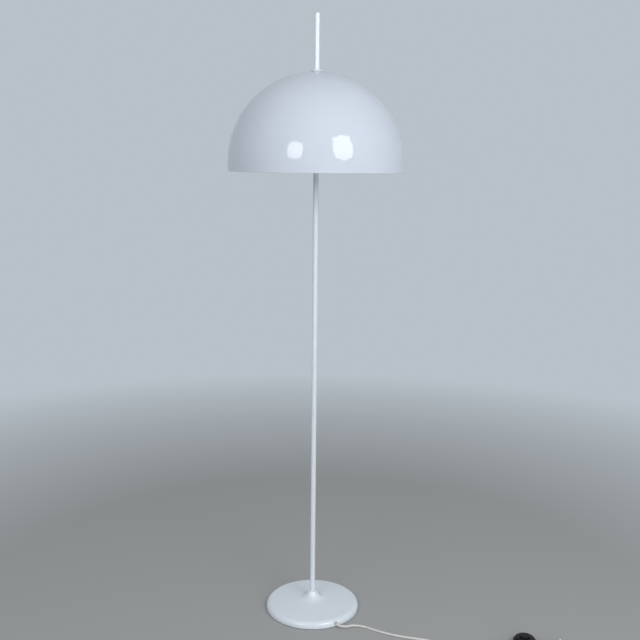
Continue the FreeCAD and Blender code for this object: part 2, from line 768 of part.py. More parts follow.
def make_switch():
    """Round foot switch: two shells, a ring, a pressed button, its core, feet and two strain reliefs."""
    relief_root = "(switch_radius - switch_wall)"
    tray = turned("tray_blank", [
        ("0", "switch_lift"),
        ("switch_radius - switch_wall", "switch_lift"),
        ("switch_radius", "switch_lift + switch_wall"),
        ("switch_radius", "switch_base_height"),
        ("switch_radius - switch_wall", "switch_base_height"),
        ("switch_radius - switch_wall", "switch_lift + switch_wall"),
        ("0", "switch_lift + switch_wall"),
    ])
    at_spot(tray, switch_spot)
    cover_top = "switch_top_height - switch_wall"
    cover = turned("cover_blank", [
        ("switch_radius", "switch_base_height"),
        ("switch_radius", "switch_base_height + switch_round"),
        ("switch_top_radius", "switch_top_height"),
        ("switch_button_radius + switch_button_gap", "switch_top_height"),
        ("switch_button_radius + switch_button_gap", cover_top),
        ("switch_top_radius - switch_wall / 2", cover_top),
        ("switch_radius - switch_wall", "switch_base_height + switch_round - switch_wall / 2"),
        ("switch_radius - switch_wall", "switch_base_height"),
    ], {1: "switch_round", 2: "switch_round"})
    at_spot(cover, switch_spot)
    ways = []
    for word, turn in (("in", to_left), ("out", to_right)):
        sign = "-" if word == "in" else ""
        for part_word in ("tray", "cover"):
            hole = bar(f"{part_word}_way_{word}", "switch_relief_start + thread_gap", "switch_radius")
            at_spot(hole, switch_spot, dx=f"{sign}switch_core_radius", z="switch_cord_height", turn=turn)
            ways.append(hole)
        relief = turned(f"relief_{word}", [
            ("0", "0"),
            ("switch_relief_start", "0"),
            ("switch_relief_start", "switch_wall * 2"),
            ("switch_relief_end", "switch_wall + switch_relief_length"),
            ("0", "switch_wall + switch_relief_length"),
        ])
        at_spot(relief, switch_spot, dx=f"{sign}{relief_root}", z="switch_cord_height", turn=turn)
        piece(relief, f"switch_relief_{word}")
    sockets, feet = [], []
    for number in range(3):
        angle = 90 + number * 120
        for name, radius, length, bag in (("socket", "switch_foot_radius + thread_gap",
                                           "switch_lift + switch_foot_sink", sockets),
                                          ("foot", "switch_foot_radius",
                                           "switch_lift + switch_foot_sink", feet)):
            bag.append(at_spot(bar(f"switch_{name}_{number}", radius, length), switch_spot,
                               dx=f"switch_foot_circle * cos({angle})",
                               dy=f"switch_foot_circle * sin({angle})"))
    piece(cut("switch_tray", tray, [ways[0], ways[2]] + sockets), "switch_tray")
    piece(cut("switch_cover", cover, [ways[1], ways[3]]), "switch_cover")
    piece(group("switch_feet", feet), "switch_feet")
    button = turned("switch_button", [
        ("0", f"{cover_top} - switch_button_flange - slack_gap"),
        ("switch_button_radius + switch_wall", f"{cover_top} - switch_button_flange - slack_gap"),
        ("switch_button_radius + switch_wall", f"{cover_top} - slack_gap"),
        ("switch_button_radius", f"{cover_top} - slack_gap"),
        ("switch_button_radius", "switch_button_height"),
        ("0", "switch_button_height"),
    ], {4: "switch_button_round"})
    piece(at_spot(button, switch_spot), "switch_button")
    core = bar("switch_core", "switch_core_radius",
               f"{cover_top} - switch_button_flange - slack_gap * 2 - switch_travel"
               " - switch_lift - switch_wall")
    piece(at_spot(core, switch_spot, z="switch_lift + switch_wall"), "switch_core")
    trim = ring("switch_ring", "switch_button_radius + switch_button_gap",
                "switch_button_radius + switch_button_gap + switch_ring_width", "switch_ring_height")
    piece(at_spot(trim, switch_spot, z="switch_top_height"), "switch_ring")


def make_plug():
    """Flat two-pin mains plug that lies on its broad side, pins to the left."""
    half = "plug_width / 2"
    front = "plug_front_width / 2"
    tail = "plug_tail_width / 2"
    body = slab("plug_blank", [
        ("0", f"-{tail}"),
        ("0", tail),
        ("-plug_length + plug_taper_start", half),
        ("-plug_length + plug_round", half),
        ("-plug_length", front),
        ("-plug_length", f"-{front}"),
        ("-plug_length + plug_round", f"-{half}"),
        ("-plug_length + plug_taper_start", f"-{half}"),
    ], "plug_thickness", {2: "plug_round", 7: "plug_round"})
    at_spot(body, plug_spot)
    pins, sockets = [], []
    for word, sign in (("near", "-"), ("far", "")):
        sunk = "plug_taper_start"
        pin = turned(f"plug_pin_{word}", [
            ("0", "0"),
            ("pin_shank_radius", "0"),
            ("pin_shank_radius", f"{sunk} + pin_shank_length - pin_groove_width"),
            ("pin_groove_radius", f"{sunk} + pin_shank_length - pin_groove_width"),
            ("pin_groove_radius", f"{sunk} + pin_shank_length"),
            ("pin_radius", f"{sunk} + pin_shank_length"),
            ("pin_radius", f"{sunk} + pin_length"),
            ("0", f"{sunk} + pin_length"),
        ], {6: "pin_tip_round"})
        socket = bar(f"pin_socket_{word}", "pin_shank_radius + thread_gap", sunk)
        for thing in (pin, socket):
            at_spot(thing, plug_spot, dx=f"-plug_length + {sunk}", dy=f"{sign}pin_spacing / 2",
                    z="plug_thickness / 2", turn=to_left)
        pins.append(pin)
        sockets.append(socket)
    piece(cut("plug_body", body, sockets), "plug_body")
    piece(group("plug_pins", pins), "plug_pins")
    relief = turned("plug_relief", [
        ("0", "0"),
        ("plug_relief_start", "0"),
        ("plug_relief_end", "plug_relief_length"),
        ("0", "plug_relief_length"),
    ])
    piece(at_spot(relief, plug_spot, z="plug_thickness / 2", turn=to_right), "plug_relief")


# ---- cords ----------------------------------------------------------------------------------------

cord = value("cord_radius")
exit_reach = value("foot_radius + grommet_proud")
outward = along_cord.multVec(Vector(0, 0, 1))
exit_spot = outward * exit_reach + Vector(0, 0, value(cord_level))
straight = value("cord_straight")
relief_reach = value("switch_radius + switch_relief_length")
switch_entry = switch_spot + Vector(-relief_reach, 0, value("switch_cord_height"))
switch_exit = switch_spot + Vector(relief_reach, 0, value("switch_cord_height"))
plug_entry = plug_spot + Vector(value("plug_relief_length"), 0, value("plug_thickness / 2"))


def cord_tube(label, points, bends=None):
    """A round tube along straight runs joined by tangent arcs. bends gives the arc radii, corner by
    corner, where the lamp sets them. Otherwise each arc is as large as its two runs allow."""
    edges = []
    start = points[0]
    length = 0.0
    radii = []
    for number, (before, corner, after) in enumerate(zip(points, points[1:], points[2:])):
        run_in, run_out = corner - before, after - corner
        share = value("cord_bend_share") * min(run_in.Length, run_out.Length)
        into, out = run_in.normalize(), run_out.normalize()
        half_turn = into.getAngle(out) / 2
        radius = bends[number] if bends else share / math.tan(half_turn)
        reach = radius * math.tan(half_turn)
        centre = corner + (out - into).normalize() * (radius / math.cos(half_turn))
        first, last = corner - into * reach, corner + out * reach
        middle = centre + (corner - centre).normalize() * radius
        edges += [Part.LineSegment(start, first).toShape(), Part.Arc(first, middle, last).toShape()]
        length += (first - start).Length + radius * 2 * half_turn
        start = last
        radii.append(round(radius, 1))
    edges.append(Part.LineSegment(start, points[-1]).toShape())
    length += (points[-1] - start).Length
    path = Part.Wire(edges)
    section = Part.Wire(Part.Circle(points[0], points[1] - points[0], cord).toShape())
    tube = doc.addObject("Part::Feature", label)
    tube.Shape = path.makePipeShell([section], True, True)
    print(f"{label}: length {length:.1f} mm, arc radii {radii} mm,"
          f" volume ratio {tube.Shape.Volume / (math.pi * cord**2 * length):.4f}")
    piece(tube, label)


def lead_outlet():
    """Where the lead leaves the stem's bush, level with the end of the cord's bend in the stem."""
    return Vector(0, value("stem_radius + lead_bush_lip * 2"),
                  value(f"{lead_hole_level} + lead_outlet_rise"))


def make_held_cord():
    """The cord from the foot's edge to the stem's axis, up the stem and out through the lead bush."""
    outlet = lead_outlet()
    cord_tube("inner_cord", [exit_spot, Vector(0, 0, exit_spot.z), Vector(0, 0, outlet.z), outlet],
              [value(cord_foot_bend), value("cord_stem_bend")])


def make_leads():
    """The lead that hangs in a loop from the stem to the hub, in two lengths."""
    hub_face = Vector(0, 0, value(hub_bottom))
    hub_end = Vector(0, value("hub_lead_offset"), hub_face.z + value("hub_lead_sink"))
    middle = hub_face + Vector(3.0, 55.6, -53.0)
    before = hub_face + Vector(4.0, 67.9, -66.1)
    cord_tube("lead_lower", [
        lead_outlet(),
        lead_outlet() + Vector(0, straight, 0),
        hub_face + Vector(0.5, 37.6, -85.9),
        hub_face + Vector(1.2, 41.2, -100.7),
        hub_face + Vector(2.3, 52.1, -109.2),
        hub_face + Vector(3.8, 66.4, -109.2),
        hub_face + Vector(5.0, 78.1, -99.3),
        hub_face + Vector(5.2, 80.4, -82.2),
        before,
        middle,
    ])
    cord_tube("lead_upper", [
        middle,
        middle + (middle - before),
        hub_face + Vector(1.0, 30.5, -31.8),
        hub_face + Vector(0.5, 19.0, -22.6),
        hub_end - Vector(0, 0, straight),
        hub_end,
    ])


def make_floor_cords():
    """The mains cord on the floor: to the foot switch, on to the coil, and from the coil to the plug."""
    rest = cord + value("thread_gap")
    cord_tube("floor_cord", [
        exit_spot,
        exit_spot + outward * 10.2,
        Vector(82.3, -109.8, 6.8),
        Vector(95.8, -97.5, 3.9),
        Vector(119.2, -98.3, rest),
        Vector(139.0, -110.0, rest),
        Vector(163.0, -124.5, rest),
        Vector(190.0, -137.0, rest),
        Vector(222.0, -147.5, rest),
        Vector(262.0, -157.0, rest),
        Vector(302.0, -171.0, rest),
        Vector(345.0, -180.5, rest),
        Vector(388.0, -177.0, rest),
        switch_entry - Vector(straight * 1.5, 0, 0),
        switch_entry,
    ])
    cord_tube("plug_cord", [
        switch_exit,
        switch_exit + Vector(straight, 0, 0),
        Vector(579.0, -163.0, rest),
        Vector(601.5, -165.5, rest),
        Vector(617.0, -176.0, rest),
        Vector(620.8, -197.0, rest),
    ])
    cord_tube("plug_lead", [
        Vector(565.0, -253.6, 7.8),
        Vector(557.0, -254.0, 7.3),
        plug_entry + Vector(straight / 2, 0, 0),
        plug_entry,
    ])
    coil = turned("cord_coil", [
        ("coil_inner_radius", "0"),
        ("coil_outer_radius", "0"),
        ("coil_outer_radius", "coil_height"),
        ("coil_inner_radius", "coil_height"),
    ], {n: "coil_round" for n in range(4)})
    piece(at_spot(coil, coil_spot), "cord_coil")


# ---- build ----------------------------------------------------------------------------------------

make_base_shell()
make_base_weight()
make_foot_fasteners()
make_cord_fittings()
make_stem()
make_shade()
make_crown()
make_hub()
make_bushes()
make_thumbscrew()
make_lampholder("left", -1)
make_lampholder("right", 1)
make_switch()
make_plug()
make_held_cord()
make_leads()
make_floor_cords()
doc.recompute()

faults = [thing.Label for thing in doc.Objects if {"Invalid", "Error"} & set(thing.State)]
faults += [thing.Label for thing in pieces if thing.Shape.isNull() or not thing.Shape.isValid()]
if faults:
    raise RuntimeError("these did not build: " + ", ".join(faults))

os.makedirs("parts", exist_ok=True)
for thing in pieces:
    thing.Shape.exportStep(f"parts/{thing.Label}.step")
print(f"{len(pieces)} pieces written")
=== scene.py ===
import json
import math

import bmesh
import bpy
from mathutils import Matrix, Vector


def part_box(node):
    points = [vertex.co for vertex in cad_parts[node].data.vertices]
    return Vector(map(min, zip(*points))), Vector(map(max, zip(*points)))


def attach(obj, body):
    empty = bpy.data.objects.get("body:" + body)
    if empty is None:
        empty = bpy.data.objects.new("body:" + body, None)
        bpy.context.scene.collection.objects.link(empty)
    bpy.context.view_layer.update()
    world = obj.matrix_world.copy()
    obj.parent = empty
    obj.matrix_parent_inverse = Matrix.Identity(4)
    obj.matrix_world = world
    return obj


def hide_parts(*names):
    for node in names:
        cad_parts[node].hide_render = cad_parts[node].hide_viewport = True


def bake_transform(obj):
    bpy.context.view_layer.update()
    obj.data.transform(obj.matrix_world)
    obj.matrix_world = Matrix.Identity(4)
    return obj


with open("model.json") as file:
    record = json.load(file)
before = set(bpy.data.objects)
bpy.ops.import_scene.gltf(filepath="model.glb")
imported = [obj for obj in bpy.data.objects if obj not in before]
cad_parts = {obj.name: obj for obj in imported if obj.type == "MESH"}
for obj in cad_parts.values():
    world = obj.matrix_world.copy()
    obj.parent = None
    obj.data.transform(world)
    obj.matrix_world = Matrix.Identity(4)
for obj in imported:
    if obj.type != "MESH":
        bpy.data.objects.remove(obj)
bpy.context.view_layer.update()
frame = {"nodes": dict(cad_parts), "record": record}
cadNodes = frame["nodes"]
scene = bpy.context.scene
print("frame: loaded", len(cadNodes), "nodes")


# camera at the height of the dome's rim, as the photograph was taken

cameraPlace = {
    "spot": (0.0123, -2.019, 1.092),
    "lens": 49.33,
    "sensor": 36.0,
    "down": 10.35,  # degrees
    "lean": 0.558,  # degrees
}


def addObject(name, data):
    made = bpy.data.objects.new(name, data)
    scene.collection.objects.link(made)
    return made


def makeCamera(place):
    lens = bpy.data.cameras.new("viewCamera")
    lens.lens = place["lens"]
    lens.sensor_width = place["sensor"]
    camera = addObject("viewCamera", lens)
    turn = Matrix.Rotation(math.radians(90 - place["down"]), 4, "X")
    lean = Matrix.Rotation(math.radians(place["lean"]), 4, "Z")
    camera.matrix_world = Matrix.Translation(place["spot"]) @ turn @ lean
    scene.camera = camera


makeCamera(cameraPlace)
print("camera: set")


# finishes: each is a Principled shader with grain from 3D textures in metres

def addNode(tree, kind, settings=None, **inputs):
    node = tree.nodes.new("ShaderNode" + kind)
    for key, setting in (settings or {}).items():
        setattr(node, key, setting)
    for key, source in inputs.items():  # a socket's name, or n0, n1 for its place
        socket = node.inputs[int(key[1:])] if key[0] == "n" and key[1:].isdigit() else node.inputs[key]
        if isinstance(source, bpy.types.NodeSocket):
            tree.links.new(source, socket)
        else:
            socket.default_value = source
    return node


def linearColor(*levels):
    # from sRGB levels, 0 to 255, to the linear values of a socket
    shares = [level / 255 for level in levels]
    return tuple(share / 12.92 if share <= 0.04045 else ((share + 0.055) / 1.055) ** 2.4
                 for share in shares) + (1.0,)


def blendColors(tree, factor, first, second):
    # a Mix node's color sockets are inputs 6 and 7 and output 2
    mix = addNode(tree, "Mix", {"data_type": "RGBA"}, n6=first, n7=second)
    tree.links.new(factor, mix.inputs["Factor"])
    return mix.outputs[2]


def combine(tree, operation, first, second):
    return addNode(tree, "Math", {"operation": operation}, n0=first, n1=second).outputs[0]


def noise(tree, place, scale, **inputs):
    return addNode(tree, "TexNoise", Vector=place, Scale=scale, **inputs).outputs["Fac"]


def spread(tree, source, low, high, fromLow=0.3, fromHigh=0.7):
    reach = addNode(tree, "MapRange")
    tree.links.new(source, reach.inputs["Value"])
    for key, number in (("From Min", fromLow), ("From Max", fromHigh), ("To Min", low), ("To Max", high)):
        reach.inputs[key].default_value = number
    return reach.outputs["Result"]


plainFinish = {
    "toneScale": 40, "roughScale": 25, "stretch": (1, 1, 1),
    "grainDetail": 3.0, "grainStrength": 0.5, "shader": {},
}
toneNoise = {"Detail": 4.0, "Roughness": 0.6}
wearNoise = {"Detail": 5.0, "Roughness": 0.65}


def makeFinish(name, ownLook):
    look = plainFinish | ownLook
    material = bpy.data.materials.new(name)
    material.use_nodes = True
    tree = material.node_tree
    shader = tree.nodes["Principled BSDF"]
    place = addNode(tree, "TexCoord").outputs["Object"]
    stretched = addNode(tree, "Mapping", Vector=place, Scale=look["stretch"]).outputs[0]
    cloud = noise(tree, stretched, look["toneScale"], **toneNoise)
    tone = blendColors(tree, spread(tree, cloud, 0, 1), look["color"], look["tone"])
    tree.links.new(tone, shader.inputs["Base Color"])
    wear = noise(tree, stretched, look["roughScale"], **wearNoise)
    tree.links.new(spread(tree, wear, *look["rough"]), shader.inputs["Roughness"])
    grain = noise(tree, stretched, look["grainScale"], Detail=look["grainDetail"])
    bump = addNode(tree, "Bump", Strength=look["grainStrength"], Distance=look["grain"], Height=grain)
    tree.links.new(bump.outputs[0], shader.inputs["Normal"])
    for socket, number in look["shader"].items():
        shader.inputs[socket].default_value = number
    return material


lacquerLook = {
    "color": linearColor(232, 239, 248), "tone": linearColor(230, 238, 247), "toneScale": 9,
    "rough": (0.25, 0.275), "roughScale": 40,
    "grain": 0.000008, "grainScale": 260, "grainStrength": 0.12,
    "shader": {"Coat Weight": 0.25, "Coat Roughness": 0.12},
}
opalLook = {
    "color": linearColor(214, 222, 233), "tone": linearColor(211, 219, 231), "toneScale": 5,
    "rough": (0.02, 0.032), "roughScale": 9,
    "grain": 0.00003, "grainScale": 30, "grainStrength": 0.1,
    "shader": {
        "IOR": 1.49, "Specular IOR Level": 0.47,
        "Subsurface Weight": 0.4, "Subsurface Radius": (0.95, 0.97, 1.0), "Subsurface Scale": 0.004,
    },
}
finishes = {
    "white_lacquer": lacquerLook,
    "opal_acrylic": opalLook,
    "cast_iron": {
        "color": linearColor(52, 51, 50), "tone": linearColor(66, 63, 60), "toneScale": 90,
        "rough": (0.62, 0.85), "grain": 0.0004, "grainScale": 700, "grainStrength": 0.7,
        "shader": {"Metallic": 0.35},
    },
    "felt": {
        "color": linearColor(42, 43, 45), "tone": linearColor(62, 63, 66), "toneScale": 300,
        "rough": (0.92, 1.0), "grain": 0.0006, "grainScale": 1600, "grainDetail": 8.0, "grainStrength": 1.0,
        "shader": {"Sheen Weight": 0.35, "Sheen Roughness": 0.6},
    },
    "zinc_steel": {
        "color": linearColor(176, 180, 184), "tone": linearColor(156, 160, 158), "toneScale": 160,
        "rough": (0.28, 0.45), "grain": 0.00008, "grainScale": 900, "shader": {"Metallic": 1.0},
    },
    "turned_aluminium": {
        "color": linearColor(206, 208, 210), "tone": linearColor(190, 192, 196), "toneScale": 60,
        "stretch": (1, 1, 14), "rough": (0.22, 0.38), "grain": 0.00005, "grainScale": 260,
        "shader": {"Metallic": 1.0},
    },
    "white_nylon": {
        "color": linearColor(232, 233, 230), "tone": linearColor(224, 225, 221), "toneScale": 80,
        "rough": (0.42, 0.55), "grain": 0.00008, "grainScale": 600,
    },
    "seat_rubber": {
        "color": linearColor(224, 224, 220), "tone": linearColor(212, 212, 207), "toneScale": 220,
        "rough": (0.6, 0.75), "grain": 0.0001, "grainScale": 900,
    },
    "ivory_cord": {
        "color": linearColor(228, 228, 225), "tone": linearColor(220, 220, 215), "toneScale": 70,
        "rough": (0.38, 0.5), "grain": 0.00008, "grainScale": 700,
    },
    "ivory_plastic": {
        "color": linearColor(235, 233, 224), "tone": linearColor(226, 223, 212), "toneScale": 60,
        "rough": (0.34, 0.44), "grain": 0.00006, "grainScale": 900,
    },
    "black_gloss": {
        "color": linearColor(11, 11, 12), "tone": linearColor(16, 16, 17), "toneScale": 60,
        "rough": (0.16, 0.24), "roughScale": 90, "grain": 0.00004, "grainScale": 300, "grainStrength": 0.2,
        "shader": {"Specular IOR Level": 0.18},
    },
    "black_rubber": {
        "color": linearColor(24, 24, 25), "tone": linearColor(36, 36, 37), "toneScale": 200,
        "rough": (0.55, 0.7), "grain": 0.0001, "grainScale": 800,
    },
    "core_plastic": {
        "color": linearColor(188, 176, 150), "tone": linearColor(172, 158, 130), "toneScale": 120,
        "rough": (0.5, 0.6), "grain": 0.0001, "grainScale": 700,
    },
    "switch_trim": {
        "color": linearColor(38, 38, 40), "tone": linearColor(48, 48, 51), "toneScale": 260,
        "rough": (0.32, 0.44), "grain": 0.00005, "grainScale": 1200, "shader": {"Specular IOR Level": 0.35},
    },
    "knob_steel": {
        "color": linearColor(206, 206, 208), "tone": linearColor(188, 189, 192), "toneScale": 120,
        "rough": (0.14, 0.26), "grain": 0.00005, "grainScale": 800, "shader": {"Metallic": 1.0},
    },
    "holder_bakelite": {
        "color": linearColor(236, 236, 232), "tone": linearColor(227, 227, 222), "toneScale": 70,
        "rough": (0.26, 0.36), "grain": 0.00006, "grainScale": 700,
    },
    "ceramic": {
        "color": linearColor(238, 237, 232), "tone": linearColor(227, 225, 218), "toneScale": 90,
        "rough": (0.2, 0.34), "grain": 0.0001, "grainScale": 600,
    },
    "lamp_brass": {
        "color": linearColor(214, 194, 140), "tone": linearColor(194, 170, 114), "toneScale": 150,
        "rough": (0.24, 0.4), "grain": 0.00006, "grainScale": 600, "shader": {"Metallic": 1.0},
    },
    "bulb_glass": {
        "color": linearColor(240, 240, 236), "tone": linearColor(233, 233, 229), "toneScale": 30,
        "rough": (0.32, 0.42), "grain": 0.00003, "grainScale": 900, "grainStrength": 0.2,
        "shader": {"Subsurface Weight": 0.3, "Subsurface Radius": (1.0, 1.0, 1.0), "Subsurface Scale": 0.003},
    },
    "pin_brass": {
        "color": linearColor(216, 210, 196), "tone": linearColor(196, 186, 164), "toneScale": 160,
        "rough": (0.2, 0.34), "grain": 0.00005, "grainScale": 700, "shader": {"Metallic": 1.0},
    },
}
materials = {name: makeFinish(name, look) for name, look in finishes.items()}
print("finishes: made", len(materials))

pinLook = {"sleeveFrom": 0.4803, "sleeve": linearColor(36, 36, 38)}  # sheathed from here to the plug's face


def sheathePins(material, look):
    tree = material.node_tree
    shader = tree.nodes["Principled BSDF"]
    along = addNode(tree, "SeparateXYZ", n0=addNode(tree, "TexCoord").outputs["Object"]).outputs["X"]
    sheathed = combine(tree, "GREATER_THAN", along, look["sleeveFrom"])
    bare = shader.inputs["Base Color"].links[0].from_socket
    tree.links.new(blendColors(tree, sheathed, bare, look["sleeve"]), shader.inputs["Base Color"])
    tree.links.new(combine(tree, "SUBTRACT", 1.0, sheathed), shader.inputs["Metallic"])


sheathePins(materials["pin_brass"], pinLook)

slotOfNode = {part["node"]: part["material_slot"] for part in frame["record"]["subparts"]}
for nodeName, nodeObject in cadNodes.items():
    for slot in nodeObject.material_slots:
        slot.material = materials[slotOfNode[nodeName]]
print("finishes: on the turned and moulded pieces")


# the mains cord: through the foot switch and into a coil, in one lie on the floor

cordLook = {
    "radius": 0.0025,
    "stepsPerPoint": 12,
    "roundness": 7,
    "toSwitch": [
        (0.0570, -0.09873, 0.00775), (0.0621, -0.1076, 0.00775), (0.0823, -0.1098, 0.0068),
        (0.0958, -0.0975, 0.0039), (0.1192, -0.0983, 0.00255), (0.139, -0.110, 0.00255),
        (0.163, -0.1245, 0.00255), (0.190, -0.137, 0.00255), (0.222, -0.1475, 0.00255),
        (0.262, -0.157, 0.00255), (0.302, -0.171, 0.00255), (0.345, -0.1805, 0.00255),
        (0.388, -0.177, 0.00255), (0.419, -0.1685, 0.0056), (0.4415, -0.1685, 0.0056),
    ],
    "toCoil": [
        (0.5375, -0.1685, 0.0056), (0.5525, -0.1685, 0.0056), (0.579, -0.163, 0.00255),
        (0.6015, -0.1655, 0.00255), (0.617, -0.176, 0.00255), (0.6208, -0.197, 0.00285),
    ],
    "toPlug": [
        (0.565, -0.2536, 0.0078), (0.557, -0.254, 0.0073), (0.5485, -0.255, 0.00685),
        (0.541, -0.255, 0.00685),
    ],
}
coilLook = {
    "spot": (0.583, -0.216),
    "outer": 0.0378,
    "inner": 0.0222,
    "pointsPerTurn": 16,
    "layers": (0.00305, 0.00825),  # half a millimetre up, for the tie under them
    "stages": (0.25, 3.0, 0.75, 3.0, 0.25),  # turns: flat start, inwards, up, outwards, flat end
}


def coilRoute(look):
    outer, inner = look["outer"], look["inner"]
    low, high = look["layers"]
    ends = [(outer, low), (outer, low), (inner, low), (inner, high), (outer, high), (outer, high)]
    perTurn = look["pointsPerTurn"]
    corner = 0.75 + 0.25 * math.cos(math.tau / perTurn)  # the line lies this far inside its points
    marks = [sum(look["stages"][:n]) for n in range(len(look["stages"]) + 1)]
    route = []
    for step in range(round(marks[-1] * perTurn) + 1):
        turns = step / perTurn
        stage = min(n for n in range(len(marks) - 1) if turns <= marks[n + 1] + 1e-6)
        share = (turns - marks[stage]) / (marks[stage + 1] - marks[stage])
        radius = ends[stage][0] + share * (ends[stage + 1][0] - ends[stage][0])
        height = ends[stage][1] + share * (ends[stage + 1][1] - ends[stage][1])
        angle = -turns * math.tau
        route.append((look["spot"][0] + radius / corner * math.cos(angle),
                      look["spot"][1] + radius / corner * math.sin(angle), height))
    return route


def cordLine(name, route):
    line = bpy.data.curves.new(name, "CURVE")
    line.dimensions = "3D"
    spline = line.splines.new("NURBS")
    spline.points.add(len(route) - 1)
    for point, spot in zip(spline.points, route):
        point.co = (*spot, 1.0)
    spline.order_u = 3
    spline.use_endpoint_u = True
    line.resolution_u = cordLook["stepsPerPoint"]
    line.bevel_depth = cordLook["radius"]
    line.bevel_resolution = cordLook["roundness"]
    line.use_fill_caps = True
    return addObject(name, line)


switchCord = cordLine("switchCord", cordLook["toSwitch"])
coilCord = cordLine("coilCord", cordLook["toCoil"] + coilRoute(coilLook) + cordLook["toPlug"])
for cord in (switchCord, coilCord):
    cord.data.materials.append(materials["ivory_cord"])
    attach(cord, "stand")
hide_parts("floor_cord")
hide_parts("plug_cord", "cord_coil", "plug_lead")


# what the turned and moulded pieces share

weldWithin = 1e-7
sharpFrom = math.radians(40)


def ringFaces(rings, sides):
    faces = []
    for ring in range(rings - 1):
        for side in range(sides):
            after = (side + 1) % sides
            faces.append((ring * sides + side, ring * sides + after,
                          (ring + 1) * sides + after, (ring + 1) * sides + side))
    return faces


def cleanMesh(name, spots, faces):
    mesh = bpy.data.meshes.new(name)
    mesh.from_pydata(spots, [], faces)
    build = bmesh.new()
    build.from_mesh(mesh)
    bmesh.ops.remove_doubles(build, verts=build.verts, dist=weldWithin)
    bmesh.ops.recalc_face_normals(build, faces=build.faces)
    build.to_mesh(mesh)
    build.free()
    return mesh


def turnedPiece(name, outline, place, finish, sides=64, flutes=None):
    spots = []
    for along, radius in outline:
        for side in range(sides):
            turn = side * math.tau / sides
            reach = radius
            if flutes and radius > flutes["over"]:
                reach -= flutes["depth"] * (0.5 - 0.5 * math.cos(flutes["count"] * turn))
            spots.append((reach * math.cos(turn), reach * math.sin(turn), along))
    mesh = cleanMesh(name, spots, ringFaces(len(outline), sides))
    mesh.transform(place)
    for face in mesh.polygons:
        face.use_smooth = True
    mesh.set_sharp_from_angle(angle=sharpFrom)
    mesh.materials.append(materials[finish])
    return addObject(name, mesh)


def alongWay(spot, way):
    return Matrix.Translation(spot) @ Vector(way).to_track_quat("Z", "X").to_matrix().to_4x4()


def startOf(node, toRight):
    # the middle of the end that the cord comes from, and the length from there
    low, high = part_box(node)
    start = Vector((low[0] if toRight else high[0], (low[1] + high[1]) / 2, (low[2] + high[2]) / 2))
    return start, high[0] - low[0]


# the strain reliefs are ribbed, and a turned outline goes round for each

reliefLook = {
    "collar": 0.0045,
    "groove": 0.00055,
    "collarEdge": 0.0002,
    "tipEdge": 0.0004,
    # along one rib, and how much of the groove's depth is cut there
    "ribSteps": ((0.04, 1), (0.36, 1), (0.42, 0.25), (0.5, 0), (0.9, 0), (0.98, 0.25)),
    "switch": {"ribs": 7, "root": 0.0042, "tip": 0.0031},
    "plug": {"ribs": 5, "root": 0.0046, "tip": 0.0031},
}


def reliefOutline(length, shape):
    collar, edge = reliefLook["collar"], reliefLook["collarEdge"]
    root, tip = shape["root"], shape["tip"]
    pitch = (length - collar) / shape["ribs"]
    outline = [(0, 0), (0, root), (collar - edge, root), (collar, root - edge)]
    for rib in range(shape["ribs"]):
        for share, sunk in reliefLook["ribSteps"]:
            along = collar + (rib + share) * pitch
            taper = (along - collar) / (length - collar)
            outline.append((along, root + taper * (tip - root) - sunk * reliefLook["groove"]))
    return outline + [(length, tip - reliefLook["tipEdge"]), (length, 0)]


def ribbedRelief(name, node, toRight, shape, finish):
    root, length = startOf(node, toRight)
    place = alongWay(root, (1 if toRight else -1, 0, 0))
    relief = turnedPiece(name, reliefOutline(length, shape), place, finish)
    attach(relief, "stand")
    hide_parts(node)
    return relief


switchPieces = [cadNodes["switch_" + word] for word in ("tray", "cover", "feet", "core", "ring", "button")]
for name, node, toRight in (("ribbedReliefIn", "switch_relief_in", False),
                            ("ribbedReliefOut", "switch_relief_out", True)):
    switchPieces.append(ribbedRelief(name, node, toRight, reliefLook["switch"], "black_gloss"))
plugPieces = [cadNodes["plug_pins"],
              ribbedRelief("ribbedReliefPlug", "plug_relief", True, reliefLook["plug"], "ivory_plastic")]
print("strain reliefs: ribbed")


# the plug is moulded, with soft edges and grip ribs across its waist

plugLook = {
    "halfThick": 0.0068,
    "square": 4.5,  # 2 is an oval, more is squarer
    "sides": 72,
    "stations": [  # from the front face back: along, half width, share of the thickness
        (0, 0.0122, 0.86), (0.0003, 0.0129, 0.92), (0.001, 0.0138, 0.975), (0.0022, 0.0158, 1.0),
        (0.0038, 0.0170, 1.0), (0.006, 0.01745, 1.0), (0.0095, 0.01745, 1.0), (0.0118, 0.0170, 1.0),
        (0.0145, 0.0156, 0.99), (0.0285, 0.0078, 0.88), (0.0315, 0.0064, 0.84), (0.0333, 0.0058, 0.8),
        (0.034, 0.0052, 0.72)],
    "ribs": {"from": 0.0150, "to": 0.0280, "count": 6, "stepsEach": 8, "depth": 0.0006},
}


def plugStations(look):
    ribs = look["ribs"]
    before = [station for station in look["stations"] if station[0] < ribs["from"]]
    after = [station for station in look["stations"] if station[0] > ribs["to"]]
    first, last = before[-1], after[0]
    steps = ribs["count"] * ribs["stepsEach"]
    waist = []
    for step in range(steps + 1):
        along = ribs["from"] + (ribs["to"] - ribs["from"]) * step / steps
        share = (along - first[0]) / (last[0] - first[0])
        sunk = ribs["depth"] * (0.5 - 0.5 * math.cos(math.tau * step / ribs["stepsEach"]))
        waist.append((along, first[1] + share * (last[1] - first[1]) - sunk,
                      first[2] + share * (last[2] - first[2]) - sunk / look["halfThick"]))
    return before + waist + after


def squared(share, square):
    return math.copysign(abs(share) ** (2 / square), share)


